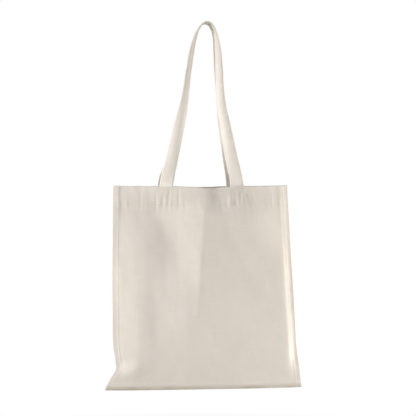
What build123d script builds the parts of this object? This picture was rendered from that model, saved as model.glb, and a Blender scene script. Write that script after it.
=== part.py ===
from build123d import *

import math
import os

# A natural cotton canvas tote bag: two canvas panels sewn together down both sides and along the
# bottom, a deep hem turned in round the mouth, and two strap handles sewn inside the hem.
# The bag hangs open from its handles. +Z is up and the front panel faces -Y. The origin is the
# point under the top of the handle loops, where a hook or a hand holds them.
# All sizes are millimetres. Heights are measured up from the bottom seam, and write_part() moves
# each finished piece so that the holding point is the origin.

# Panels
PANEL_HEIGHT = 390.0          # bottom seam to mouth
BOTTOM_HALF_WIDTH = 190.0     # half of the flat width, kept by the straight bottom seam
WAIST_HALF_WIDTH = 178.0      # where the open bag draws its sides in, just above the corners
MOUTH_HALF_WIDTH = 167.0
CORNER_EAR_HEIGHT = 14.0      # how fast the corners draw in above the bottom seam
BELLY_DEPTH = 18.0            # how far each panel stands out from the seams low down at its middle
MOUTH_DEPTH = 26.0            # the same at the mouth, which the handles hold open
BELLY_HEIGHT = 45.0           # how fast the panels swell apart above the bottom seam
BELLY_START = 1.5             # power that keeps the panels flat together just above the seam
LENS_MIDDLE = 3.0             # power that keeps a panel's middle flat from side to side
LENS_EDGE = 1.15              # power that keeps the panels flat together just inside the side seams
CANVAS = 0.6                  # thickness of one layer
LEVEL_STEP = 10.0             # height between the level sections that a panel is drawn through
POINTS_ACROSS = 31            # in each of those sections
FIT = 0.01                    # how closely the panels' faces follow their sections

# Hem: the top edge turned in twice, so it is three layers thick
HEM_HEIGHT = 36.0
HEM_THICKNESS = 3 * CANVAS
HEM_OVERLAP = 0.2             # how far the turned layers reach into the panel they are sewn to
HEM_END = 14.0                # the turned layers stop this far in from the side seams

# Seams: the panels' edges turned inside, sewn together and bound with overlock thread
ALLOWANCE = 10.0
SEAM_THICKNESS = 2 * CANVAS
SEAM_GAP = 0.15               # from a seam's allowances to the panel on each side
SIDE_SEAM_START = 12.0        # the side allowances are trimmed off above the bottom ones

# Handles: canvas folded to four layers, with both ends sewn inside the hem
STRAP_WIDTH = 25.0
STRAP_THICKNESS = 2.0
STRAP_CLEARANCE = 0.3         # from the hem's inner face to the strap
HANDLE_HALF_SPACING = 67.0    # centre of a strap end to the middle of the bag
HANDLE_RISE = 312.0           # mouth to the holding point
TOP_LEAN = 8.0                # the loops lean this far to +X on their way up
TWIST_HEIGHT = 185.0          # a strap turns edge-on to the front over this height
LEVEL_HEIGHT = 20.0           # a strap leaves the hem level, and squares up to its slope over this
TOP_GAP = 0.5                 # between the two handles, side by side at the top
# Front view of one handle leg: (half spacing, height above the mouth) of its centre line
LEG_POINTS = ((57.5, 56.0), (46.5, 109.0), (33.0, 179.0), (24.5, 240.0), (17.0, 286.0))
STRAP_SECTIONS = 61           # along a whole loop, one leg to the other

# Fold line of each handle, along X just above and outside the hem's edge
FOLD_ABOVE_MOUTH = 1.0
FOLD_OUT = 5.5                # from the hem's outer face at the strap's middle
FOLD_GAP = 0.3                # from the fold line's height to the pieces above and below it

# Sewing thread
THREAD = 0.4
THREAD_GAP = 0.1              # between a thread and the cloth it lies on
HEM_STITCH_DEPTH = 34.0       # from the mouth down to the hem's stitch line
STRAP_STITCH_INSET = 2.5      # from a strap's edge to its row of stitches
BOX_STITCH = (21.0, 29.0)     # width and height of the stitched box on each strap end
BOX_STITCH_LIFT = 0.3         # clears the curve of the hem below the flat box

FRONT, BACK = -1, 1
HOLDING_POINT = (TOP_LEAN, 0.0, PANEL_HEIGHT + HANDLE_RISE)


def half_width(height):
    """Half of the bag's width, wide at the bottom corners and narrowest at the mouth."""
    taper = WAIST_HALF_WIDTH + (MOUTH_HALF_WIDTH - WAIST_HALF_WIDTH) * height / PANEL_HEIGHT
    return taper + (BOTTOM_HALF_WIDTH - WAIST_HALF_WIDTH) * math.exp(-height / CORNER_EAR_HEIGHT)


def panel_y(x, height, side, inset=0.0):
    """Y of one panel's outer face, or of a face at an inset behind it."""
    swell = 1 - math.exp(-((height / BELLY_HEIGHT) ** BELLY_START))
    lens = max(0.0, 1 - abs(x / half_width(height)) ** LENS_MIDDLE) ** LENS_EDGE
    depth = BELLY_DEPTH + (MOUTH_DEPTH - BELLY_DEPTH) * height / PANEL_HEIGHT
    return side * (SEAM_THICKNESS / 2 + SEAM_GAP + CANVAS - inset + depth * swell * lens)


def levels(low, high):
    """Evenly spaced heights from low to high, about LEVEL_STEP apart and at least four."""
    steps = max(3, round((high - low) / LEVEL_STEP))
    return [low + (high - low) * i / steps for i in range(steps + 1)]


def closed_solid(faces):
    """The solid that these faces, which share their edges, close in."""
    return Solid(Shell(Face.sew_faces(faces)[0]))


def panel_face(low, high, inset, side, end):
    """One panel's face at an inset, between two heights, stopping short of the side seams by end."""
    rows = []
    for height in levels(low, high):
        reach = half_width(height) - end
        across = [reach * (2 * i / (POINTS_ACROSS - 1) - 1) for i in range(POINTS_ACROSS)]
        rows.append([(x, panel_y(x, height, side, inset), height) for x in across])
    return Face.make_surface_from_array_of_points(rows, tol=FIT)


def cloth(low, high, outer, inner, side, end=0.0):
    """A layer of cloth that follows one panel between two heights and two insets from its outer face."""
    faces = [panel_face(low, high, inset, side, end) for inset in (outer, inner)]
    edge_pairs = zip(faces[0].edges(), faces[1].edges())
    return closed_solid(faces + [Face.make_surface_from_curves(a, b) for a, b in edge_pairs])


def bar(sections):
    """A four-sided bar through its sections, each a list of four corners in the same order."""
    edges = [Edge.make_spline([Vector(*section[i]) for section in sections]) for i in range(4)]
    sides = [Face.make_surface_from_curves(edges[i - 1], edges[i]) for i in range(4)]
    ends = [Face(Wire.make_polygon(section, close=True)) for section in (sections[0], sections[-1])]
    return closed_solid(sides + ends)


def side_seam(end):
    """Both panels' allowances in one side seam, bound together, upright inside the bag."""
    y = SEAM_THICKNESS / 2
    sections = []
    for h in levels(SIDE_SEAM_START, PANEL_HEIGHT):
        far, near = end * half_width(h), end * (half_width(h) - ALLOWANCE)
        sections.append([(far, -y, h), (near, -y, h), (near, y, h), (far, y, h)])
    return bar(sections)


def bottom_seam():
    """Both panels' allowances in the bottom seam, bound together, standing up inside the bag."""
    return Pos(0, 0, ALLOWANCE / 2) * Box(2 * half_width(ALLOWANCE), SEAM_THICKNESS, ALLOWANCE)


def panel(side):
    """One canvas panel with its turned hem."""
    body = cloth(0, PANEL_HEIGHT, 0, CANVAS, side)
    hem = (PANEL_HEIGHT - HEM_HEIGHT, PANEL_HEIGHT, CANVAS - HEM_OVERLAP, HEM_THICKNESS)
    return body + cloth(*hem, side, HEM_END)


def hem_stitching(side):
    """The row of stitches that holds the hem, a fine ridge on the outer face."""
    bottom = PANEL_HEIGHT - HEM_STITCH_DEPTH
    return cloth(bottom, bottom + THREAD, -THREAD_GAP - THREAD, -THREAD_GAP, side)


def hem_point(inset, side, height=PANEL_HEIGHT):
    """Y of the hem beside a strap end, at an inset from the outer face."""
    return panel_y(HANDLE_HALF_SPACING, height, side, inset)


def hem_turn(side, leg):
    """Degrees about Z by which the hem turns away from the X axis at a strap end."""
    x, step = leg * HANDLE_HALF_SPACING, STRAP_WIDTH / 2
    ends = [panel_y(x + offset, PANEL_HEIGHT, side) for offset in (-step, step)]
    return math.degrees(math.atan2(ends[1] - ends[0], 2 * step))


def strap_base_y(side):
    """Y of a strap's centre line where it leaves the hem, upright and clear of the hem's lower edge."""
    inset = HEM_THICKNESS + STRAP_CLEARANCE + STRAP_THICKNESS / 2
    return hem_point(inset, side, PANEL_HEIGHT - HEM_HEIGHT)


def fold_line(side):
    """Y and height of the line along X about which a handle folds down over the mouth's edge."""
    return hem_point(0, side) + side * FOLD_OUT, PANEL_HEIGHT + FOLD_ABOVE_MOUTH


def handle_outline():
    """The handle's centre line in the front view, from the -X end over the top to the +X end."""
    start = PANEL_HEIGHT + FOLD_ABOVE_MOUTH + FOLD_GAP
    leg = [(HANDLE_HALF_SPACING, start)] + [(x, PANEL_HEIGHT + z) for x, z in LEG_POINTS]
    top = (0.0, PANEL_HEIGHT + HANDLE_RISE + STRAP_THICKNESS / 2)
    return Spline([(-x, z) for x, z in leg] + [top] + [(x, z) for x, z in reversed(leg)])


def smooth(share):
    """Rises from 0 to 1 with level ends."""
    share = min(1.0, max(0.0, share))
    return share * share * (3 - 2 * share)


def strap_frame(outline, along, side):
    """Centre, width direction and thickness direction of a strap at a share of its length."""
    point, tangent = outline @ along, outline % along
    risen = point.Y - PANEL_HEIGHT
    to_top = risen / HANDLE_RISE
    base_y, top_y = strap_base_y(side), side * (TOP_GAP + STRAP_WIDTH / 2)
    centre = Vector(point.X + TOP_LEAN * to_top, base_y + (top_y - base_y) * to_top, point.Y)
    twist = math.radians(90 * smooth(risen / TWIST_HEIGHT))
    slope = tangent.X * smooth(risen / LEVEL_HEIGHT)
    inward, forward = Vector(tangent.Y, 0, -slope).normalized(), Vector(0, side, 0)
    turn = hem_turn(side, math.copysign(1, point.X)) * (1 - smooth(risen / TWIST_HEIGHT))
    width = (inward * math.cos(twist) - forward * math.sin(twist)).rotate(Axis.Z, turn)
    thickness = Vector(slope, 0, tangent.Y).cross(width).normalized()
    return centre, width, thickness


def strap_loop(side, across, through, width, thickness):
    """A bar along a handle's loop, centred at an offset across the strap and through it."""
    outline = handle_outline()
    sections = []
    for i in range(STRAP_SECTIONS):
        centre, wide, thick = strap_frame(outline, i / (STRAP_SECTIONS - 1), side)
        centre += wide * across + thick * through
        corners = ((1, 1), (-1, 1), (-1, -1), (1, -1))
        sections.append([centre + wide * (width / 2 * a) + thick * (thickness / 2 * b) for a, b in corners])
    return bar([[tuple(corner) for corner in section] for section in sections])


def handle(side):
    """The free loop of one handle, from fold line to fold line."""
    return strap_loop(side, 0, 0, STRAP_WIDTH, STRAP_THICKNESS)


def handle_stitching(side):
    """Two rows of stitches along a handle, one near each edge of its outer face."""
    across = STRAP_WIDTH / 2 - STRAP_STITCH_INSET
    through = side * (STRAP_THICKNESS / 2 + THREAD_GAP + THREAD / 2)
    return [strap_loop(side, end * across, through, THREAD, THREAD) for end in (-1, 1)]


def at_strap_end(side, leg, y, height):
    """Location on a strap end, with local Y through the hem."""
    return Pos(leg * HANDLE_HALF_SPACING, y, height) * Rot(0, 0, hem_turn(side, leg))


def handle_ends(side):
    """The two ends of one handle that are sewn flat inside the hem."""
    top = PANEL_HEIGHT + FOLD_ABOVE_MOUTH - FOLD_GAP
    low = PANEL_HEIGHT - HEM_HEIGHT
    block = Box(STRAP_WIDTH, STRAP_THICKNESS, top - low)
    return [at_strap_end(side, leg, strap_base_y(side), (top + low) / 2) * block for leg in (-1, 1)]


def box_stitch():
    """A stitched box with a cross in it, lying in the XZ plane."""
    width, height = BOX_STITCH
    lines = Rectangle(width, height) - Rectangle(width - 2 * THREAD, height - 2 * THREAD)
    diagonal = math.hypot(width, height) - 2 * THREAD
    lean = math.degrees(math.atan2(height, width))
    for turn in (lean, -lean):
        lines += Rot(0, 0, turn) * Rectangle(diagonal, THREAD)
    return Rot(90, 0, 0) * extrude(lines, THREAD / 2, both=True)


def handle_box_stitching(side):
    """The stitched boxes that hold one handle's two ends, seen on the hem's outer face."""
    y = hem_point(-BOX_STITCH_LIFT - THREAD / 2, side)
    height = PANEL_HEIGHT - HEM_HEIGHT / 2
    return [at_strap_end(side, leg, y, height) * box_stitch() for leg in (-1, 1)]


def write_part(name, *shapes):
    """Writes one node, moved so that the holding point is the origin."""
    move = Pos(*(-value for value in HOLDING_POINT))
    moved = [move * shape for shape in shapes]
    whole = moved[0] if len(moved) == 1 else Compound(children=moved)
    export_step(whole, f"parts/{name}.step")


os.makedirs("parts", exist_ok=True)
for side_name, facing in (("front", FRONT), ("back", BACK)):
    write_part(f"{side_name}_panel", panel(facing))
    write_part(f"{side_name}_hem_stitching", hem_stitching(facing))
    write_part(f"{side_name}_handle", handle(facing))
    write_part(f"{side_name}_handle_stitching", *handle_stitching(facing))
    write_part(f"{side_name}_handle_ends", *handle_ends(facing))
    write_part(f"{side_name}_handle_box_stitching", *handle_box_stitching(facing))
write_part("left_side_seam", side_seam(-1))
write_part("right_side_seam", side_seam(1))
write_part("bottom_seam", bottom_seam())
for side_name, facing in (("front", FRONT), ("back", BACK)):
    fold_y, fold_height = fold_line(facing)
    print(f"{side_name} fold line: y {fold_y:.2f}, z {fold_height - HOLDING_POINT[2]:.2f}")
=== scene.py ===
import math

import bpy
import numpy as np
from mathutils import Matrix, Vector


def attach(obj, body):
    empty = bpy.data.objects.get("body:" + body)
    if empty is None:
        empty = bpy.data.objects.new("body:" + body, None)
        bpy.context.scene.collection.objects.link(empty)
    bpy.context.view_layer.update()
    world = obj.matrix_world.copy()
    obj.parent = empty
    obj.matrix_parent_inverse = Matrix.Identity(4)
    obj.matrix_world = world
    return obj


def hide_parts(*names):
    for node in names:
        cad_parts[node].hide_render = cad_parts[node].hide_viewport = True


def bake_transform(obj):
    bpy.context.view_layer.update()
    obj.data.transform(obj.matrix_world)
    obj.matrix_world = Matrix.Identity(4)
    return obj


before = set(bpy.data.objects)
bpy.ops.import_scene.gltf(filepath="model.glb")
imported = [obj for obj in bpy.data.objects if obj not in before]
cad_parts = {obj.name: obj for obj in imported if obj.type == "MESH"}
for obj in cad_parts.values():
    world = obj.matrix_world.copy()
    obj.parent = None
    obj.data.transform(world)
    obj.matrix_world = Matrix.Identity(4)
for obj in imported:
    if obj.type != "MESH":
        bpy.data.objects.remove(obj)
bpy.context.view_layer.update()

# A natural cotton canvas tote bag hanging from its two handles.
# Lengths are metres. The bag is drawn with x measured from its middle and h measured up from the
# bottom seam; placed() moves it so that the holding point under the handles is the origin.
FRONT, BACK = -1, 1
SIDE_NAMES = {FRONT: "front", BACK: "back"}
LEAN = 0.008                      # the handles lean this far to +X at the top
HOLD_HEIGHT = 0.702               # holding point above the bottom seam

# Panels
MOUTH = 0.390
CANVAS = 0.0006                   # thickness of one layer
SEAM_OUT = 0.00135                # outer face of a panel from the middle plane, at the seams
BELLY_DEPTH = 0.018               # how far a panel stands out low down at its middle
MOUTH_DEPTH = 0.026               # the same at the mouth
BELLY_HEIGHT = 0.045
COLUMNS = 230                     # cells across a panel
COLUMN_EASING = 0.72              # towards 1 the columns crowd together at the sides, near 0 they are even
ROW_STEP = 0.0021                 # height of a cell below the hem
HEM_ROW_STEP = 0.0011             # the same on the outside of the hem
INNER_ROW_STEP = 0.0026           # the same on the inside of the hem
CLOTH_HALF_WIDTH = 0.19           # half of the flat cloth between its side seams
LEFT_EDGE = ((0, -0.189), (0.012, -0.1835), (0.026, -0.176), (0.038, -0.1685), (0.057, -0.1690),
             (0.085, -0.1728), (0.15, -0.1740), (0.256, -0.1740), (0.392, -0.1722))
RIGHT_EDGE = ((0, 0.1920), (0.02, 0.190), (0.037, 0.188), (0.072, 0.1830), (0.133, 0.1792),
              (0.195, 0.1754), (0.256, 0.1712), (0.333, 0.1664), (0.392, 0.1630))

# Hem, seams and stitches
HEM_HEIGHT = 0.036
HEM_STITCH = 0.356                # height of the hem's row of stitches
HEM_THICKNESS = 3 * CANVAS
MOUTH_DIP = {FRONT: 0.0030, BACK: 0.0015}   # how far the mouth's edge sags between the straps
ALLOWANCE = 0.010
ALLOWANCE_START = 0.0004          # an allowance's first row, from the line of the seam
SIDE_SEAM_START = 0.012           # a side seam's allowances start this far above the bottom seam
BOTTOM_SEAM_END = 0.0015          # the bottom seam's allowances stop this far from the bag's edges
STITCH_PITCH = 0.0033
STITCH_LENGTH = 0.0026
STITCH_FLATNESS = 0.8             # height of a stitch over its width
STITCH_LIFT = 0.0001              # middle of a stitch, from the face of the cloth
THREAD = 0.0005
OVERLOCK_RADIUS = 0.0002
OVERLOCK_PITCH = 0.0009           # between one quarter of an overlock loop and the next
OVERLOCK_REACH = 0.0055           # inwards from the raw edge
OVERLOCK_OVERHANG = 0.0004        # outwards from the raw edge
OVERLOCK_FACE = 0.00085           # from the middle of the two allowances

# Handles
STRAP_WIDTH = 0.025
STRAP_THICKNESS = 0.002
STRAP_INSET = HEM_THICKNESS + 0.0003 + STRAP_THICKNESS / 2   # from the hem's outer face
SPACING = 0.067                   # strap end to the middle of the bag
HANDLE_RISE = 0.312
TOP_GAP = 0.0005
LEG = ((0.067, -0.0355), (0.067, -0.018), (0.067, 0.0013), (0.0565, 0.056), (0.0440, 0.109),
       (0.0305, 0.170), (0.0250, 0.220), (0.0210, 0.262), (0.0172, 0.286), (0.0130, 0.3005),
       (0.0070, 0.310))           # half spacing, height above the mouth
# How far the middle between the legs hangs to the right of the bag's middle, by height above the mouth
SWAY = ((-0.04, -0.0050), (0, -0.0050), (0.055, -0.0050), (0.108, -0.0040), (0.177, -0.0022),
        (0.24, 0.0005), (0.285, 0.0035), (0.314, 0.0060))
BASE_SHIFT = {FRONT: SWAY[0][1], BACK: SWAY[0][1] - 0.0015}   # the back handle sits a little further left
STRAP_SECTIONS = 361
SECTION_STEP = 0.0021             # about the distance between two sections
# Degrees that the left and right legs of each handle have turned edge-on, at these heights above the mouth
TWIST_HEIGHTS = (0, 0.06, 0.12, 0.18, 0.25, 0.29, 0.313)
LEG_TWIST = {
    FRONT: ((0, 4, 22, 52, 66, 80, 90), (0, 6, 26, 50, 62, 78, 90)),
    BACK: ((0, 26, 60, 84, 90, 90, 90), (0, 6, 28, 62, 80, 86, 90)),
}
# Degrees that a strap's section curls round, by height above the mouth
HIGH_CURL = ((0.20, 115), (0.26, 85), (0.30, 20), (0.314, 0))
CURL = {
    FRONT: ((-0.04, 0), (0, 0), (0.05, 60), (0.11, 105)) + HIGH_CURL,
    BACK: ((-0.04, 0), (0, 0), (0.05, 40), (0.11, 95)) + HIGH_CURL,
}
LEAST_CURL = 0.5                  # degrees, so that a flat strap still has a radius
NESTING = (0.0055, 0.0015)        # the back handle's left and right legs hang this much to the right
FREE_RISE = 0.05                  # height over which a strap leaves its hem and starts to sway
BOX_WIDTH, BOX_HEIGHT = 0.021, 0.029
STRAP_STITCH_INSET = 0.0025       # row of stitches to the edge of the strap

# Colours are linear red, green, blue and alpha
CANVAS_LIGHT = (0.645, 0.598, 0.540, 1.0)
CANVAS_DARK = (0.616, 0.567, 0.505, 1.0)
STRAP_LIGHT = (0.780, 0.730, 0.662, 1.0)
STRAP_DARK = (0.748, 0.695, 0.623, 1.0)
# Thread colours: the dark one is both painted shade in the grooves between the plies and the thread's
# darker patches of tone
THREAD_LIGHT = (0.68, 0.63, 0.55, 1.0)
THREAD_DARK = (0.52, 0.47, 0.39, 1.0)
SEED_FLECK = (0.36, 0.27, 0.17, 1.0)
WORN_CLOTH = (0.74, 0.69, 0.62, 1.0)
# Painted shade along the bottom seam
BOTTOM_SHADE_COLOUR = (0.37, 0.32, 0.25, 1.0)
FLOOR_DARK = (0.84, 0.84, 0.83, 1.0)
FLOOR_LIGHT = (0.88, 0.88, 0.87, 1.0)
CANVAS_PITCH = 0.00078            # between neighbouring threads of the weave
STRAP_PITCH = 0.00070

RIPPLE_WAVES = 14                 # waves added up to make one set of ripples
RIPPLE_SUM = 6                    # what their sum is divided by


def smooth(share):
    """Rises from 0 to 1 with level ends."""
    share = np.clip(share, 0, 1)
    return share * share * (3 - 2 * share)


def through(points, at):
    """A smooth curve through (position, value) points, read at other positions."""
    places, values = np.array(points, float).T
    slopes = np.gradient(values, places)
    i = np.clip(np.searchsorted(places, at) - 1, 0, len(places) - 2)
    step = places[i + 1] - places[i]
    t = np.clip((at - places[i]) / step, 0, 1)
    from_values = (2 * t**3 - 3 * t**2 + 1) * values[i] + (3 * t**2 - 2 * t**3) * values[i + 1]
    from_slopes = (t**3 - 2 * t**2 + t) * slopes[i] + (t**3 - t**2) * slopes[i + 1]
    return from_values + step * from_slopes


def ripples(x, h, wavelength, seed, lean=0.0):
    """Soft irregular ripples of about one wavelength, mostly within -1 to 1.
    A lean of 1 makes them all upright."""
    random = np.random.default_rng(seed)
    total = 0
    for _ in range(RIPPLE_WAVES):
        angle = random.uniform(0, math.pi) * (1 - lean)
        size = 2 * math.pi / (wavelength * random.uniform(0.7, 1.5))
        phase = random.uniform(0, 2 * math.pi)
        total = total + np.sin(size * (x * math.cos(angle) + h * math.sin(angle)) + phase)
    return total / RIPPLE_SUM


def placed(x, y, h):
    """Points in the row frame from the bag's own measures."""
    x, y, h = np.broadcast_arrays(x, y, h)
    return np.stack([x - LEAN, y, h - HOLD_HEIGHT], axis=-1)


# ---------------------------------------------------------------- the bag's shape

def fold(x, h, start, end, widths, lift, fades):
    """Lift of a straight fold from start up to end, with its own width on its left and right.
    It fades in and out over a share of its length at each end."""
    run, rise = end[0] - start[0], end[1] - start[1]
    length = math.hypot(run, rise)
    along = ((x - start[0]) * run + (h - start[1]) * rise) / length**2
    off = ((x - start[0]) * rise - (h - start[1]) * run) / length
    profile = smooth(1 - np.abs(off) / np.where(off < 0, *widths))
    ends = smooth(along / max(fades[0], 1e-6)) * smooth((1 - along) / max(fades[1], 1e-6))
    return lift * profile * ends


def bump(x, h, centre, radius, lift):
    """Lift of a round bump."""
    far = ((x - centre[0]) ** 2 + (h - centre[1]) ** 2) / radius**2
    return lift * np.exp(-far)


def strap_puckers(x, h, side):
    """Short upright creases that the strap's boxes of stitches pull into the hem."""
    pitch, depth = 0.0068, 0.00042
    total = 0
    for end in (-1, 1):
        for place in range(-3, 5):
            uneven = 0.0022 * math.sin(5 * place + end)
            at = end * SPACING + BASE_SHIFT[side] + place * pitch + uneven
            lift = depth * (-1) ** place * (1 + 0.6 * math.sin(3 * place + end))
            low = 0.342 + 0.009 * math.sin(4 * place + 2 * end)
            high = 0.386 + 0.008 * math.sin(7 * place)
            width = 0.0036 + 0.0012 * math.sin(2 * place + end)
            total = total + fold(x, h, (at, low), (at + 0.001, high), (width, width), lift, (0.4, 0.3))
    return total


def bent_line(x, knots):
    """A line through (x, lift, round-off) knots, level beyond them, with its corners rounded off."""
    total, slope_before = knots[0][1], 0
    for i, (at, lift, round_off) in enumerate(knots):
        slope = (knots[i + 1][1] - lift) / (knots[i + 1][0] - at) if i + 1 < len(knots) else 0
        ramp = (x - at + np.sqrt((x - at) ** 2 + round_off**2)) / 2
        total = total + (slope - slope_before) * ramp
        slope_before = slope
    return total


def centre_drape(x, h):
    """The front's large fold: a hollow, a wedge up to a sharp crest, a band and a step to its right."""
    growing = smooth((h - 0.10) / 0.11)
    near_mouth = smooth((h - 0.335) / 0.045)
    # X of the fold's lines, and the width of the wedge and of the rounded crest
    crest = through(((0.08, -0.020), (0.185, -0.010), (0.30, -0.002), (0.393, 0.001)), h)
    crest_width = 0.006
    wedge = 0.083 * np.maximum((h - 0.178) / 0.17, 0.10)
    band_end = through(((0.04, 0.095), (0.19, 0.105), (0.228, 0.087), (0.346, 0.034), (0.393, 0.022)), h)
    step_end = band_end + 0.038 + 0.018 * near_mouth
    # How far the cloth stands out at each line
    wedge_slope = 0.33 - 0.19 * near_mouth
    band_slope = 0.09 + 0.20 * near_mouth
    hollow = -0.016 * growing * (1 - 0.55 * near_mouth) * smooth(wedge / 0.05)
    top = hollow + wedge_slope * wedge * growing
    beyond = top - 0.0015 * growing
    low = beyond - band_slope * (band_end - crest - crest_width) * growing
    high = low + (0.0075 + 0.0020 * near_mouth) * growing
    return bent_line(x, [
        (crest - wedge - 0.085, 0, 0.020),
        (crest - wedge, hollow, 0.020),
        (crest, top, 0.0020),
        (crest + crest_width, beyond, 0.004),
        (band_end, low, 0.006),
        (step_end, high, 0.010),
        (band_end + 0.11, 0.2 * high, 0.020),
    ])


def front_folds(x, h):
    """How far the front panel's folds stand out."""
    total = centre_drape(x, h)
    # A ridge up the left side, and the hollow to its right
    total += fold(x, h, (-0.127, 0.00), (-0.127, 0.26), (0.045, 0.040), 0.0032, (0.3, 0.3))
    total += fold(x, h, (-0.070, 0.00), (-0.075, 0.30), (0.045, 0.050), -0.0024, (0.2, 0.3))
    # A ridge up the right side, and a small one in the hem next to the right strap
    total += fold(x, h, (0.166, 0.02), (0.148, 0.32), (0.045, 0.021), 0.0052, (0.15, 0.3))
    total += fold(x, h, (0.104, 0.346), (0.083, 0.386), (0.006, 0.006), 0.0010, (0.3, 0.4))
    # The bulge in the lower left corner, with a crease on either side
    total += bump(x, h, (-0.132, 0.035), 0.020, 0.0068)
    total += fold(x, h, (-0.174, 0.034), (-0.150, 0.062), (0.010, 0.010), -0.0015, (0.1, 0.5))
    total += fold(x, h, (-0.119, 0.008), (-0.116, 0.070), (0.012, 0.022), -0.0006, (0.4, 0.5))
    # Two small bulges in the lower right corner, and a dimple where the right strap is sewn
    total += bump(x, h, (0.163, 0.068), 0.012, 0.0014) + bump(x, h, (0.166, 0.022), 0.014, 0.0030)
    total += bump(x, h, (0.061, 0.360), 0.006, -0.0010)
    return total


def back_folds(x, h):
    """How far the back panel's folds stand out."""
    top = MOUTH + 0.003
    # A ridge, a hollow and a ridge that run up into the mouth
    total = fold(x, h, (0.030, 0.090), (0.066, top), (0.05, 0.045), 0.0060, (0.5, 0))
    total += fold(x, h, (-0.008, 0.130), (0.006, top), (0.045, 0.035), -0.0070, (0.5, 0))
    total += fold(x, h, (-0.090, 0.120), (-0.064, top), (0.045, 0.05), 0.0050, (0.5, 0))
    # A hollow near one side, a ridge near the other, and a bulge in each lower corner
    total += fold(x, h, (0.118, 0.060), (0.108, 0.36), (0.04, 0.03), -0.0028, (0.3, 0.3))
    total += fold(x, h, (-0.140, 0.030), (-0.132, 0.34), (0.03, 0.03), 0.0022, (0.3, 0.3))
    total += bump(x, h, (0.142, 0.036), 0.018, 0.0036) + bump(x, h, (-0.146, 0.040), 0.016, 0.0030)
    return total


def edges(h):
    """X of the bag's left and right edges."""
    h = np.minimum(h, MOUTH + 0.002)
    return through(LEFT_EDGE, h), through(RIGHT_EDGE, h)


def across(share, h):
    """X at a share of the bag's width, from -1 at its left edge to 1 at its right edge."""
    left, right = edges(h)
    return (left + right) / 2 + share * (right - left) / 2


def share_at(x, h):
    """The share of the bag's width at which x lies."""
    left, right = edges(h)
    return np.clip((2 * x - left - right) / (right - left), -1, 1)


def hem_relief(x, h, side):
    """The hem's extra thickness, its stitch groove and the puckers that the stitches draw in."""
    above = h - HEM_STITCH
    step = 0.0005 * smooth((above + 0.003) / 0.002)
    groove = -0.0004 * np.exp(-(above / 0.0012) ** 2)
    nearby = np.exp(-np.abs(above) / 0.009)
    puckers = 0.00035 * ripples(x, 0.15 * h, wavelength=0.009, seed=20 + side, lean=0.8) * nearby
    waves = 0.0003 * ripples(x, 0.2 * h, wavelength=0.021, seed=30 + side, lean=0.8)
    waves = waves * smooth((h - 0.34) / 0.02)
    return step + groove + puckers + waves


def panel_out(x, h, side):
    """Distance of a panel's outer face from the bag's middle plane."""
    share = share_at(x, h)
    left, right = edges(h)
    inside = np.minimum(x - left, right - x)
    swell = 1 - np.exp(-((np.maximum(h, 0) / BELLY_HEIGHT) ** 1.3))
    power = 3 - 0.9 * smooth(h / 0.1) * smooth(-share / 0.3)
    lens = np.maximum(0, 1 - np.abs(share) ** power) ** 1.15
    depth = BELLY_DEPTH + (MOUTH_DEPTH - BELLY_DEPTH) * h / MOUTH
    folds = front_folds(x, h) if side == FRONT else back_folds(x, h)
    large = 0.0012 * ripples(x, 0.6 * h, wavelength=0.085, seed=3 + side)
    small = 0.00028 * ripples(x, 0.8 * h, wavelength=0.028, seed=9 + side)
    quiet = smooth(inside / 0.018) * smooth((h - 0.004) / 0.04)
    seam_ridge = 0.0004 * np.exp(-((inside - ALLOWANCE) / 0.0012) ** 2) * smooth(h / 0.03)
    bottom_ridge = 0.0004 * np.exp(-((h - ALLOWANCE) / 0.0015) ** 2) * smooth(inside / 0.02)
    rolled_under = np.clip(1 - h / 0.0020, 0, 1) ** 2
    body = SEAM_OUT * (1 - 0.75 * rolled_under) + depth * swell * lens
    detail = (folds + large + small + strap_puckers(x, h, side)) * quiet
    return body + detail + seam_ridge + bottom_ridge + hem_relief(x, h, side) * smooth(inside / 0.008)


def mouth_lift(x, h, side):
    """How far the mouth's edge rises at its corners and dips between the straps, and the bottom sags."""
    shape = 0.0016 * np.abs(x / 0.165) ** 3 - MOUTH_DIP[side] * np.exp(-((x / 0.040) ** 2))
    uneven = 0.0003 * ripples(x, 0, wavelength=0.03, seed=50 + side) * smooth((h - 0.36) / 0.02)
    sag = -0.0012 * np.clip(1 - (x / CLOTH_HALF_WIDTH) ** 4, 0, 1) * smooth(1 - h / 0.03)
    return shape * smooth((h - 0.22) / 0.15) + uneven + sag


def panel_rows():
    """(height, inset) of each row of a panel, up the outside, over the mouth and down inside the hem."""
    seam = np.linspace(0, ROW_STEP, 5)[:-1]
    low = np.arange(ROW_STEP, HEM_STITCH - 0.008, ROW_STEP)
    high = np.arange(low[-1] + HEM_ROW_STEP, MOUTH - 0.0012, HEM_ROW_STEP)
    rows = [(h, CANVAS / 2) for h in [*seam, *low, *high]]
    for turn in np.linspace(0, math.pi, 7):
        rows.append((MOUTH - CANVAS + CANVAS * math.sin(turn), CANVAS / 2 + CANVAS * (1 - math.cos(turn))))
    down = np.arange(MOUTH - 0.002, MOUTH - HEM_HEIGHT, -INNER_ROW_STEP)
    return rows + [(h, CANVAS * 2.5) for h in down]


def panel_points(side):
    """Centre surface of a panel's cloth, row by row, and its cloth coordinates."""
    heights, insets = np.array(panel_rows()).T[:, :, None]
    eased = np.sin(np.linspace(-1, 1, COLUMNS + 1) * math.pi / 2 * COLUMN_EASING)
    shares = eased / math.sin(math.pi / 2 * COLUMN_EASING)
    x = across(shares[None, :], heights)
    out = panel_out(x, heights, side) - insets
    points = placed(x, side * out, heights + mouth_lift(x, heights, side))
    steps = np.linalg.norm(np.diff(points, axis=0), axis=2).mean(axis=1)
    length = np.concatenate([[0], np.cumsum(steps)])
    wide = shares * CLOTH_HALF_WIDTH
    uv = np.stack(np.broadcast_arrays(wide[None, :], length[:, None]), axis=-1)
    return points, uv


# ---------------------------------------------------------------- mesh builders

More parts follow.
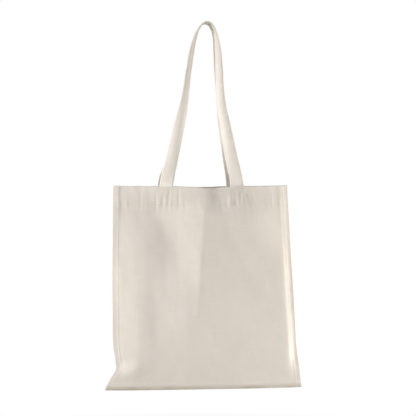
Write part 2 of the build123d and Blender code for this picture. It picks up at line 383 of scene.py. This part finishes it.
def make_object(name, points, faces, uv, slot):
    """A smooth-shaded mesh object with its cloth coordinates in metres."""
    mesh = bpy.data.meshes.new(name)
    mesh.from_pydata(points.reshape(-1, 3).tolist(), [], faces)
    layer = mesh.uv_layers.new(name="cloth")
    corner = np.zeros(len(mesh.loops), int)
    mesh.loops.foreach_get("vertex_index", corner)
    layer.data.foreach_set("uv", uv.reshape(-1, 2)[corner].astype(np.float32).ravel())
    mesh.polygons.foreach_set("use_smooth", [True] * len(mesh.polygons))
    mesh.update()
    obj = bpy.data.objects.new(name, mesh)
    bpy.context.scene.collection.objects.link(obj)
    mesh.materials.append(MATERIALS[slot])
    return obj


def grid_faces(rows, columns, start=0, flip=False, wrap=False):
    """Quads of a grid of points that is numbered row by row."""
    faces = []
    for r in range(rows - 1):
        for c in range(columns if wrap else columns - 1):
            after = (c + 1) % columns
            a, b = start + r * columns + c, start + r * columns + after
            d, e = a + columns, b + columns
            faces.append((a, d, e, b) if flip else (a, b, e, d))
    return faces


def thick_sheet(name, points, uv, thickness, slot):
    """Cloth of a thickness around a grid of points, closed round its edges."""
    rows, columns = points.shape[:2]
    normal = np.cross(np.gradient(points, axis=1), np.gradient(points, axis=0))
    normal /= np.linalg.norm(normal, axis=2, keepdims=True)
    both = np.stack([points + normal * thickness / 2, points - normal * thickness / 2])
    half = rows * columns
    faces = grid_faces(rows, columns) + grid_faces(rows, columns, half, flip=True)
    border = list(range(columns))
    border += [r * columns + columns - 1 for r in range(1, rows)]
    border += [(rows - 1) * columns + c for c in range(columns - 2, -1, -1)]
    border += [r * columns for r in range(rows - 2, 0, -1)]
    for a, b in zip(border, border[1:] + border[:1]):
        faces.append((b, a, a + half, b + half))
    return make_object(name, both, faces, np.stack([uv, uv]), slot)


def closed_bar(name, rings, uv, slot):
    """A bar through rings of points, capped at both ends."""
    rows, columns = rings.shape[:2]
    faces = grid_faces(rows, columns, wrap=True)
    faces.append(tuple(reversed(range(columns))))
    faces.append(tuple(range((rows - 1) * columns, rows * columns)))
    return make_object(name, rings, faces, uv, slot)


def stitch_shape(rings, around):
    """Points of one rounded stitch: along it, across it and up from the cloth."""
    shape = []
    for i in range(rings):
        tilt = math.pi * (i + 0.5) / rings
        for j in range(around):
            turn = 2 * math.pi * j / around
            radius = math.sin(tilt)
            shape.append((-math.cos(tilt), radius * math.cos(turn), radius * math.sin(turn)))
    return np.array(shape) * (STITCH_LENGTH / 2, THREAD / 2, THREAD / 2 * STITCH_FLATNESS)


def stitches(name, centres, along, normal):
    """Rows of small rounded stitches, each at a centre with its own direction."""
    side = np.cross(normal, along)
    rings, around = 5, 7
    shape = stitch_shape(rings, around)
    points = (centres[:, None, :] + along[:, None, :] * shape[None, :, :1]
              + side[:, None, :] * shape[None, :, 1:2] + normal[:, None, :] * shape[None, :, 2:3])
    faces = []
    for s in range(len(centres)):
        start = s * rings * around
        faces += grid_faces(rings, around, start, wrap=True)
        faces.append(tuple(start + j for j in reversed(range(around))))
        faces.append(tuple(start + (rings - 1) * around + j for j in range(around)))
    uv = np.broadcast_to(shape[None, :, :2], points.shape[:2] + (2,))
    return make_object(name, points, faces, np.array(uv), "thread")


def overlock_tube(name, line):
    """An overlock thread along a line of points."""
    radius = OVERLOCK_RADIUS
    no_seam_runs_this_way = np.array([0.31, 0.17, 0.93])
    along = np.gradient(line, axis=0)
    along /= np.linalg.norm(along, axis=1, keepdims=True)
    first = np.cross(along, no_seam_runs_this_way)
    first /= np.linalg.norm(first, axis=1, keepdims=True)
    second = np.cross(along, first)
    turns = np.linspace(0, 2 * math.pi, 5, endpoint=False)
    rings = (line[:, None, :] + radius * first[:, None, :] * np.cos(turns)[None, :, None]
             + radius * second[:, None, :] * np.sin(turns)[None, :, None])
    length = np.arange(len(line)) * THREAD
    uv = np.stack(np.broadcast_arrays(turns[None, :] * radius, length[:, None]), axis=-1)
    return closed_bar(name, rings, uv, "thread")


# ---------------------------------------------------------------- pieces of the bag

def surface_frame(x, h, side, lift):
    """Points at a lift above a panel's outer face, with its along-x, upward and outward directions."""
    def at(a, b):
        return placed(a, side * (panel_out(a, b, side) + lift), b + mouth_lift(a, b, side))

    step = 0.0005
    here = at(x, h)
    along = at(x + step, h) - here
    up = at(x, h + step) - here
    along /= np.linalg.norm(along, axis=-1, keepdims=True)
    up /= np.linalg.norm(up, axis=-1, keepdims=True)
    return here, along, up, -side * np.cross(along, up)


def make_panel(side):
    """One canvas panel with its hem turned in over the mouth."""
    points, uv = panel_points(side)
    if side == FRONT:
        points, uv = points[:, ::-1], uv[:, ::-1]
    name = SIDE_NAMES[side]
    sheet = thick_sheet(f"{name}_canvas_panel", points, uv, CANVAS, "canvas")
    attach(sheet, "bag")
    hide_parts(f"{name}_panel")
    return sheet


def make_hem_stitches(side):
    """The hem's row of stitches on a panel's outer face."""
    name = SIDE_NAMES[side]
    left, right = edges(HEM_STITCH)
    from_edge = 0.004
    x = np.arange(left + from_edge, right - from_edge, STITCH_PITCH)
    here, along, _, out = surface_frame(x, HEM_STITCH, side, STITCH_LIFT)
    row = stitches(f"{name}_hem_row_of_stitches", here, along, out)
    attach(row, "bag")
    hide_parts(f"{name}_hem_stitching")


def box_lines():
    """Start and end of each line of a crossed box of stitches, around its middle."""
    w, h = BOX_WIDTH / 2, BOX_HEIGHT / 2
    corners = [(-w, -h), (w, -h), (w, h), (-w, h)]
    sides = list(zip(corners, corners[1:] + corners[:1]))
    return sides + [(corners[0], corners[2]), (corners[1], corners[3])]


def make_box_stitches(side):
    """The crossed boxes of stitches that hold one handle's two ends."""
    xs, hs, runs = [], [], []
    for end in (-1, 1):
        for (x0, h0), (x1, h1) in box_lines():
            length = math.hypot(x1 - x0, h1 - h0)
            for share in np.arange(0.5 * STITCH_PITCH, length, STITCH_PITCH) / length:
                xs.append(end * SPACING + BASE_SHIFT[side] + x0 + (x1 - x0) * share)
                hs.append(MOUTH - HEM_HEIGHT / 2 + h0 + (h1 - h0) * share)
                runs.append(((x1 - x0) / length, (h1 - h0) / length))
    here, along, up, out = surface_frame(np.array(xs), np.array(hs), side, STITCH_LIFT)
    runs = np.array(runs)
    direction = along * runs[:, :1] + up * runs[:, 1:]
    name = SIDE_NAMES[side]
    boxes = stitches(f"{name}_strap_boxes_of_stitches", here, direction, out)
    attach(boxes, "bag")
    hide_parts(f"{name}_handle_box_stitching")


def overlock_path(edge_line, inward):
    """A thread that loops over a seam allowance's raw edge, from face to face."""
    over_edge = (-OVERLOCK_OVERHANG, 0.0)
    loop = ((OVERLOCK_REACH, -OVERLOCK_FACE), over_edge, (OVERLOCK_REACH, OVERLOCK_FACE), over_edge)
    line = []
    for i, point in enumerate(edge_line):
        reach, y = loop[i % 4]
        line.append(point + inward * reach + np.array([0, y, 0]))
    line = np.array(line)
    fine = np.linspace(0, len(line) - 1, 4 * len(line))
    steps = np.arange(len(line))
    return np.stack([through(np.stack([steps, line[:, k]], axis=1), fine) for k in range(3)], axis=1)


def make_seam(name, points, uv, raw_edge, inward):
    """Both allowances of one seam as a strip, bound together with overlock thread round their raw edge."""
    strip = thick_sheet(f"{name}_allowance", points, uv, 2 * CANVAS, "canvas")
    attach(strip, "bag")
    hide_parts(name)
    thread = overlock_tube(f"{name}_overlock_thread", overlock_path(raw_edge, inward))
    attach(thread, "bag")


def make_side_seam(end):
    """The left seam for end -1 or the right seam for end 1."""
    which = 0 if end < 0 else 1
    heights = np.arange(SIDE_SEAM_START, MOUTH - 0.0003, 0.0025)
    depth = np.linspace(ALLOWANCE_START, ALLOWANCE, 6)
    x = edges(heights)[which][:, None] - end * depth[None, :]
    y = 0.0002 * ripples(x, heights[:, None], wavelength=0.02, seed=70 + end)
    points = placed(x, y, heights[:, None])
    uv = np.stack(np.broadcast_arrays(depth[None, :], heights[:, None]), axis=-1)
    fine = np.arange(SIDE_SEAM_START + 0.001, MOUTH - 0.001, OVERLOCK_PITCH)
    raw_edge = placed(edges(fine)[which] - end * ALLOWANCE, 0 * fine, fine)
    name = ("left_side_seam", "right_side_seam")[which]
    make_seam(name, points, uv, raw_edge, np.array([end, 0, 0]))


def make_bottom_seam():
    """The bottom seam, whose allowances narrow a little upwards to stay inside the bag."""
    taper = 0.3                   # share of the width that would be lost over one metre
    heights = np.linspace(ALLOWANCE_START, ALLOWANCE, 6)
    left, right = edges(np.array([0.0]))
    wide = np.linspace(left[0] + BOTTOM_SEAM_END, right[0] - BOTTOM_SEAM_END, 150)
    x = wide[None, :] * (1 - taper * heights[:, None])
    points = placed(x, 0 * x, heights[:, None])
    uv = np.stack(np.broadcast_arrays(wide[None, :], heights[:, None]), axis=-1)
    fine = np.arange(-0.176, 0.176, OVERLOCK_PITCH)
    raw_edge = placed(fine, 0 * fine, ALLOWANCE + 0 * fine)
    make_seam("bottom_seam", points, uv, raw_edge, np.array([0, 0, -1]))


# ---------------------------------------------------------------- handles

def handle_line():
    """X and height above the mouth along a handle, from its left end over the top to its right end."""
    left = [(-x, z) for x, z in LEG]
    right = [(x, z) for x, z in reversed(LEG)]
    points = np.array(left + [(0, HANDLE_RISE + STRAP_THICKNESS / 2)] + right)
    lengths = np.concatenate([[0], np.cumsum(np.linalg.norm(np.diff(points, axis=0), axis=1))])
    at = np.linspace(0, lengths[-1], STRAP_SECTIONS)
    line = np.stack([through(np.stack([lengths, points[:, k]], axis=1), at) for k in range(2)], axis=1)
    return line, at


def strap_centres(side, line, at, risen):
    """Middle of each of a strap's sections, from inside the hem up to its twin at the top."""
    to_top = risen / HANDLE_RISE
    base = panel_out(SPACING + BASE_SHIFT[side], MOUTH, side) - STRAP_INSET
    y = side * (base + (TOP_GAP + STRAP_WIDTH / 2 - base) * to_top)
    sway = 0.0012 * ripples(at, 0 * at, wavelength=0.12, seed=80 + side) * smooth(risen / FREE_RISE)
    x = line[:, 0] + through(SWAY, risen) + sway * smooth((0.29 - risen) / 0.05)
    x = x + (BASE_SHIFT[side] - BASE_SHIFT[FRONT]) * smooth((0.20 - risen) / 0.20)
    if side == BACK:
        nesting = np.where(line[:, 0] < 0, *NESTING)
        x = x + nesting * smooth(risen / FREE_RISE) * smooth((0.26 - risen) / 0.10)
    return np.stack([x, y, line[:, 1] + MOUTH], axis=1)


def strap_twist(side, line, at, risen):
    """How far each of a strap's sections has turned edge-on, in radians."""
    left, right = (through(list(zip(TWIST_HEIGHTS, leg)), risen) for leg in LEG_TWIST[side])
    uneven = 4 * ripples(at, 0 * at, wavelength=0.15, seed=90 + side)
    uneven = uneven * smooth(risen / FREE_RISE) * smooth((0.28 - risen) / 0.05)
    return np.radians(np.where(line[:, 0] < 0, left, right) + uneven)[:, None]


def strap_frames(side):
    """Middle, width direction, thickness direction and height above the mouth of a strap's sections."""
    line, at = handle_line()
    tangent = np.gradient(line, axis=0)
    tangent /= np.linalg.norm(tangent, axis=1, keepdims=True)
    risen = np.maximum(line[:, 1], 0)
    centre = strap_centres(side, line, at, risen)
    twist = strap_twist(side, line, at, risen)
    slope = tangent[:, 0] * smooth(risen / 0.02)
    zero = 0 * slope
    inward = np.stack([tangent[:, 1], zero, -slope], axis=1)
    inward /= np.linalg.norm(inward, axis=1, keepdims=True)
    forward = np.array([0, side, 0])
    width = inward * np.cos(twist) - forward * np.sin(twist)
    thickness = np.cross(np.stack([slope, zero, tangent[:, 1]], axis=1), width)
    thickness /= np.linalg.norm(thickness, axis=1, keepdims=True)
    return centre, width, thickness, line[:, 1]


def curled(a, b, height, side):
    """Offsets a across and b through a strap, bent as its edges curl back from its outer face."""
    degrees = np.maximum(through(CURL[side], height), LEAST_CURL)
    radius = STRAP_WIDTH / np.radians(degrees)[:, None]
    outward = radius + side * b
    return outward * np.sin(a / radius), side * (outward * np.cos(a / radius) - radius)


def laid_on_hem(points, offset, side):
    """Strap points pulled onto the hem's inner face below the mouth, and let go above it."""
    x, h = points[..., 0], points[..., 2]
    on_hem = side * (panel_out(x, np.minimum(h, MOUTH), side) - STRAP_INSET) + offset
    hold = 1 - smooth((h - MOUTH) / FREE_RISE)
    return placed(x, points[..., 1] * (1 - hold) + on_hem * hold, h)


def strap_points(side, a, b):
    """Points of a strap at offsets a across it and b through it, one row for each section."""
    centre, width, thickness, height = strap_frames(side)
    a, b = curled(a, b, height, side)
    points = centre[:, None, :] + width[:, None, :] * a[..., None] + thickness[:, None, :] * b[..., None]
    return laid_on_hem(points, b, side)


def strap_profile():
    """Offsets across and through a folded strap, around its section, with rounded edges."""
    half, r = STRAP_WIDTH / 2, STRAP_THICKNESS / 2
    face = np.linspace(-half + r, half - r, 9)
    hollow = 0.00018 * (1 - (face / half) ** 2)
    turns = np.radians([45, 0, -45])
    a = np.concatenate([face, half - r + r * np.cos(turns), face[::-1], -half + r - r * np.cos(turns)])
    b = np.concatenate([-r + hollow, -r * np.sin(turns), r - hollow, r * np.sin(turns)])
    return a, b


def make_strap(side):
    """One handle: a single strap from one sewn end over the top to the other."""
    a, b = strap_profile()
    along = np.arange(STRAP_SECTIONS)[:, None] * SECTION_STEP
    flutter = 0.0004 * ripples(along, a[None, :], wavelength=0.03, seed=60 + side)
    soft = 0.00025 * ripples(along, 2 * a[None, :], wavelength=0.012, seed=65 + side)
    points = strap_points(side, a[None, :] * (1 + flutter / (STRAP_WIDTH / 2)), b[None, :] + soft)
    _, at = handle_line()
    distance = np.concatenate([[0], np.cumsum(np.hypot(np.diff(a), np.diff(b)))])
    uv = np.stack(np.broadcast_arrays(distance[None, :], at[:, None]), axis=-1)
    name = SIDE_NAMES[side]
    strap = closed_bar(f"{name}_strap", points, uv, "strap")
    across_fold(strap)
    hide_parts(f"{name}_handle", f"{name}_handle_ends")


def line_on_strap(side, a, b, places):
    """Points at an offset a across a strap and b through it, at places along it."""
    _, at = handle_line()
    line = strap_points(side, np.full((1, 1), a), np.full((1, 1), b))[:, 0]
    return np.stack([np.interp(places, at, line[:, k]) for k in range(3)], axis=1)


def make_strap_stitches(side):
    """Rows of stitches near both edges of a strap, on both of its faces."""
    _, at = handle_line()
    from_end, step = 0.003, 0.001
    every = np.arange(from_end, at[-1] - from_end, STITCH_PITCH)
    centres, alongs, outs = [], [], []
    for a in (-STRAP_WIDTH / 2 + STRAP_STITCH_INSET, STRAP_WIDTH / 2 - STRAP_STITCH_INSET):
        for face in (-1, 1):
            b = face * (STRAP_THICKNESS / 2 + STITCH_LIFT)
            here = line_on_strap(side, a, b, every)
            ahead = line_on_strap(side, a, b, every + step)
            below = line_on_strap(side, a, 0.0, every)
            centres.append(here)
            alongs.append((ahead - here) / np.linalg.norm(ahead - here, axis=1, keepdims=True))
            outs.append((here - below) / np.linalg.norm(here - below, axis=1, keepdims=True))
    name = SIDE_NAMES[side]
    rows = stitches(f"{name}_strap_rows_of_stitches", *(np.concatenate(v) for v in (centres, alongs, outs)))
    across_fold(rows)
    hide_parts(f"{name}_handle_stitching")


def across_fold(piece):
    """Bakes a strap piece's placement into its mesh."""
    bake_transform(piece)


# ---------------------------------------------------------------- materials

class Nodes:
    """Adds nodes to a material and joins them with short calls."""

    def __init__(self, material):
        material.use_nodes = True
        self.tree = material.node_tree
        self.shader = self.tree.nodes["Principled BSDF"]

    def add(self, kind, settings=None, **inputs):
        """A new node. Its inputs go by name, with _ for a space, or by number as i0, i1 and so on."""
        node = self.tree.nodes.new(kind)
        for key, value in (settings or {}).items():
            setattr(node, key, value)
        for key, value in inputs.items():
            self.feed(node, int(key[1:]) if key[1:].isdigit() else key.replace("_", " "), value)
        return node

    def feed(self, node, key, value):
        """Links an input to another node's output, or gives it a plain value."""
        if isinstance(value, bpy.types.NodeSocket):
            self.tree.links.new(value, node.inputs[key])
        else:
            node.inputs[key].default_value = value

    def math(self, operation, first, second=0.0, third=0.0):
        """One operation on up to three values."""
        settings = {"operation": operation}
        return self.add("ShaderNodeMath", settings, i0=first, i1=second, i2=third).outputs[0]

    def noise(self, vector, scale, detail=2.0, roughness=0.5):
        """Soft noise from 0 to 1, with scale spots to a unit of the vector."""
        return self.add("ShaderNodeTexNoise", None, Vector=vector, Scale=scale, Detail=detail,
                        Roughness=roughness).outputs["Fac"]

    def stretched(self, vector, x, y):
        """A vector scaled differently along x and y."""
        return self.add("ShaderNodeMapping", None, Vector=vector, Scale=(x, y, 1.0)).outputs[0]

    def ramp(self, factor, low, high, to_low, to_high):
        """Turns low to high into to_low to to_high, and holds the ends."""
        node = self.add("ShaderNodeMapRange", None, i0=factor, i1=low, i2=high, i3=to_low, i4=to_high)
        return node.outputs[0]

    def mix(self, factor, first, second, blend="MIX"):
        """A colour between the first and the second. The numbers are the Mix node's colour sockets."""
        node = self.tree.nodes.new("ShaderNodeMix")
        node.data_type = "RGBA"
        node.blend_type = blend
        self.feed(node, 0, factor)
        self.feed(node, 6, first)
        self.feed(node, 7, second)
        return node.outputs[2]

    def grey(self, level):
        """A colour with the same level of red, green and blue."""
        return self.add("ShaderNodeCombineColor", None, Red=level, Green=level, Blue=level).outputs[0]


def woven_height(n, cloth, pitch):
    """Height of a plain weave: each thread is round, and passes over and under its neighbours."""
    parts = n.add("ShaderNodeSeparateXYZ", None, Vector=cloth)
    wander = n.noise(cloth, scale=260.0, detail=1.0)
    wobble = n.math("MULTIPLY", n.math("SUBTRACT", wander, 0.5), 0.5)
    warp = n.math("ADD", n.math("DIVIDE", parts.outputs[0], pitch), wobble)
    weft = n.math("ADD", n.math("DIVIDE", parts.outputs[1], pitch), wobble)
    warp_round = n.math("ABSOLUTE", n.math("SINE", n.math("MULTIPLY", warp, math.pi)))
    weft_round = n.math("ABSOLUTE", n.math("SINE", n.math("MULTIPLY", weft, math.pi)))
    cell = n.add("ShaderNodeCombineXYZ", None, X=warp, Y=weft, Z=0.5).outputs[0]
    over = n.add("ShaderNodeTexChecker", None, Vector=cell, Scale=1.0).outputs["Fac"]
    warp_high = n.math("MULTIPLY", warp_round, n.math("MULTIPLY_ADD", over, 0.6, 0.4))
    weft_high = n.math("MULTIPLY", weft_round, n.math("MULTIPLY_ADD", over, -0.6, 1.0))
    return n.math("MAXIMUM", warp_high, weft_high)


def seed_flecks(n, cloth):
    """Where small dark flecks of seed show in the cloth, which is only in some areas."""
    specks = n.noise(n.stretched(cloth, 900.0, 650.0), scale=1.0, detail=1.0)
    areas = n.noise(cloth, scale=90.0, detail=0.0)
    return n.math("MULTIPLY", n.ramp(specks, 0.70, 0.76, 0.0, 0.6), n.ramp(areas, 0.5, 0.62, 0.0, 1.0))


def painted_bottom_shade(n, cloth, clouds):
    """Where painted shade darkens a panel: unevenly, in the lowest centimetre of its cloth along the bottom
    seam.
    """
    height = n.add("ShaderNodeSeparateXYZ", None, Vector=cloth).outputs[1]
    low_down = n.ramp(height, 0.0005, 0.0105, 1.0, 0.0)
    return n.math("MULTIPLY", low_down, n.ramp(clouds, 0.3, 0.7, 0.5, 1.1))


def cloth_relief(n, cloth, weave, slubs):
    """Surface direction of cotton: its threads and fuzz, and a soft crumple about a centimetre across."""
    fuzz = n.noise(cloth, scale=2400.0)
    height = n.math("ADD", n.math("MULTIPLY_ADD", slubs, 0.35, weave), n.math("MULTIPLY", fuzz, 0.25))
    relief = n.add("ShaderNodeBump", None, Strength=0.55, Distance=0.00016, Height=height).outputs[0]
    crumple = n.noise(cloth, scale=85.0, detail=3.0, roughness=0.55)
    soft = n.add("ShaderNodeBump", None, Strength=0.5, Distance=0.0007, Height=crumple, Normal=relief)
    return soft.outputs[0]


def cotton(name, light, dark, pitch, shade_bottom=False):
    """Natural cotton cloth: weave, thick and thin threads, seed flecks, soft unevenness, and painted shade
    where the weave sits low between its threads.
    Cloth with a shaded bottom gets uneven painted shade along its bottom seam."""
    material = bpy.data.materials.new(name)
    n = Nodes(material)
    cloth = n.add("ShaderNodeUVMap", {"uv_map": "cloth"}).outputs[0]
    weave = woven_height(n, cloth, pitch)
    warp_slubs = n.noise(n.stretched(cloth, 620.0, 22.0), scale=1.0)
    weft_slubs = n.noise(n.stretched(cloth, 26.0, 560.0), scale=1.0)
    slubs = n.math("ADD", warp_slubs, weft_slubs)
    clouds = n.noise(cloth, scale=17.0, detail=3.0)
    tone = n.mix(n.ramp(slubs, 0.75, 1.25, 0.0, 1.0), dark, light)
    uneven = n.ramp(clouds, 0.3, 0.7, 0.985, 1.015)
    # Painted shade: the cloth's colour is darkened where the weave sits low, between its threads.
    weave_gap_shade = n.ramp(weave, 0.2, 0.9, 0.88, 1.03)
    tone = n.mix(1.0, tone, n.grey(n.math("MULTIPLY", uneven, weave_gap_shade)), "MULTIPLY")
    tone = n.mix(seed_flecks(n, cloth), tone, SEED_FLECK)
    edge = n.add("ShaderNodeNewGeometry").outputs["Pointiness"]
    tone = n.mix(n.ramp(edge, 0.52, 0.60, 0.0, 0.5), tone, WORN_CLOTH)
    # Painted shade along the bottom seam, darkening the lowest centimetre of the cloth
    if shade_bottom:
        tone = n.mix(painted_bottom_shade(n, cloth, clouds), tone, BOTTOM_SHADE_COLOUR)
    n.feed(n.shader, "Base Color", tone)
    n.feed(n.shader, "Roughness", n.ramp(n.math("ADD", weave, clouds), 0.6, 1.6, 0.95, 0.82))
    n.feed(n.shader, "Normal", cloth_relief(n, cloth, weave, slubs))
    n.shader.inputs["Specular IOR Level"].default_value = 0.18
    n.shader.inputs["Sheen Weight"].default_value = 0.12
    n.shader.inputs["Sheen Roughness"].default_value = 0.5
    return material


def sewing_thread():
    """Two-ply cotton thread with twisted strands, with painted shade in the grooves between them."""
    material = bpy.data.materials.new("thread")
    n = Nodes(material)
    cloth = n.add("ShaderNodeUVMap", {"uv_map": "cloth"}).outputs[0]
    parts = n.add("ShaderNodeSeparateXYZ", None, Vector=cloth)
    slant = n.math("MULTIPLY", parts.outputs[0], 7200.0)
    twisted = n.math("MULTIPLY_ADD", parts.outputs[1], 5200.0, slant)
    ply = n.math("ABSOLUTE", n.math("SINE", twisted))
    place = n.add("ShaderNodeTexCoord").outputs["Object"]
    patch = n.noise(place, scale=240.0)
    # Darker in the grooves between the plies, which is painted shade, and in random patches of the thread's
    # own tone
    bright = n.ramp(n.math("MULTIPLY", ply, patch), 0.1, 0.6, 0.0, 1.0)
    n.feed(n.shader, "Base Color", n.mix(bright, THREAD_DARK, THREAD_LIGHT))
    n.feed(n.shader, "Roughness", n.ramp(patch, 0.3, 0.7, 0.6, 0.8))
    relief = n.add("ShaderNodeBump", None, Strength=0.6, Distance=0.00008, Height=ply).outputs[0]
    n.feed(n.shader, "Normal", relief)
    n.shader.inputs["Specular IOR Level"].default_value = 0.25
    return material


def floor_material(radius):
    """Pale floor that fades out into the pale surroundings towards its rim."""
    material = bpy.data.materials.new("pale_floor")
    n = Nodes(material)
    place = n.add("ShaderNodeTexCoord").outputs["Object"]
    away = n.add("ShaderNodeVectorMath", {"operation": "LENGTH"}, i0=place).outputs["Value"]
    grain = n.noise(place, scale=30.0, detail=4.0)
    n.feed(n.shader, "Base Color", n.mix(grain, FLOOR_DARK, FLOOR_LIGHT))
    n.feed(n.shader, "Alpha", n.ramp(away, radius * 0.35, radius * 0.95, 1.0, 0.0))
    n.shader.inputs["Roughness"].default_value = 0.9
    n.shader.inputs["Specular IOR Level"].default_value = 0.0
    return material


# ---------------------------------------------------------------- studio

def make_floor(radius, drop):
    """A round pale floor that lies a drop below the hanging bag."""
    turns = np.linspace(0, 2 * math.pi, 96, endpoint=False)
    points = [(radius * math.cos(t), radius * math.sin(t), 0) for t in turns]
    mesh = bpy.data.meshes.new("floor")
    mesh.from_pydata(points, [], [tuple(range(len(points)))])
    mesh.materials.append(floor_material(radius))
    floor = bpy.data.objects.new("floor", mesh)
    floor.location = (-LEAN, 0, -HOLD_HEIGHT - drop)
    bpy.context.scene.collection.objects.link(floor)


def add_softbox(name, place, aim, size, watts, colour=(1.0, 1.0, 1.0), spread=180):
    """A square soft light at a place, facing an aim point.
    A small spread, in degrees, makes a narrow beam."""
    light = bpy.data.lights.new(name, "AREA")
    light.shape = "SQUARE"
    light.size = size
    light.energy = watts
    light.spread = math.radians(spread)
    light.color = colour
    obj = bpy.data.objects.new(name, light)
    obj.location = place
    obj.rotation_euler = (Vector(aim) - Vector(place)).to_track_quat("-Z", "Y").to_euler()
    bpy.context.scene.collection.objects.link(obj)


def add_world(strength):
    """White surroundings that the camera sees as plain white, and that light the bag at a strength."""
    world = bpy.data.worlds.new("studio")
    world.use_nodes = True
    nodes, links = world.node_tree.nodes, world.node_tree.links
    seen = nodes.new("ShaderNodeLightPath").outputs["Is Camera Ray"]
    level = nodes.new("ShaderNodeMapRange")
    level.inputs["To Min"].default_value = strength
    level.inputs["To Max"].default_value = 1.0
    links.new(seen, level.inputs["Value"])
    nodes["Background"].inputs["Color"].default_value = (1.0, 1.0, 1.0, 1.0)
    links.new(level.outputs["Result"], nodes["Background"].inputs["Strength"])
    bpy.context.scene.world = world


def add_camera(target, azimuth, elevation, distance, view_width):
    """A camera on a long lens that sees view_width at the target."""
    sensor_width = 36             # millimetres, like the lens
    data = bpy.data.cameras.new("camera")
    data.sensor_width = sensor_width
    data.lens = sensor_width * distance / view_width
    camera = bpy.data.objects.new("camera", data)
    az, el = math.radians(azimuth), math.radians(elevation)
    away = Vector((math.sin(az) * math.cos(el), -math.cos(az) * math.cos(el), math.sin(el)))
    camera.location = Vector(target) + away * distance
    camera.rotation_euler = (-away).to_track_quat("-Z", "Y").to_euler()
    bpy.context.scene.collection.objects.link(camera)
    bpy.context.scene.camera = camera


add_camera(target=(0.0016, 0, -0.3535), azimuth=-6.0, elevation=2.0, distance=2.7, view_width=0.799)
make_floor(radius=1.5, drop=0.30)
add_world(strength=0.59)
add_softbox("key", place=(-2.38, -0.95, 0.30), aim=(0, 0, -0.56), size=0.8, watts=4.1, spread=36)
add_softbox("rim", place=(1.0, -0.03, -0.66), aim=(0.1, 0, -0.46), size=0.45, watts=13,
            colour=(1.0, 0.98, 0.94))
bpy.context.scene.view_settings.view_transform = "Standard"

MATERIALS = {
    "canvas": cotton("canvas", CANVAS_LIGHT, CANVAS_DARK, CANVAS_PITCH, shade_bottom=True),
    "strap": cotton("strap", STRAP_LIGHT, STRAP_DARK, STRAP_PITCH),
    "thread": sewing_thread(),
}

for side in (FRONT, BACK):
    panel = make_panel(side)
    make_hem_stitches(side)
    make_box_stitches(side)
    make_strap(side)
    make_strap_stitches(side)
make_side_seam(-1)
make_side_seam(1)
make_bottom_seam()
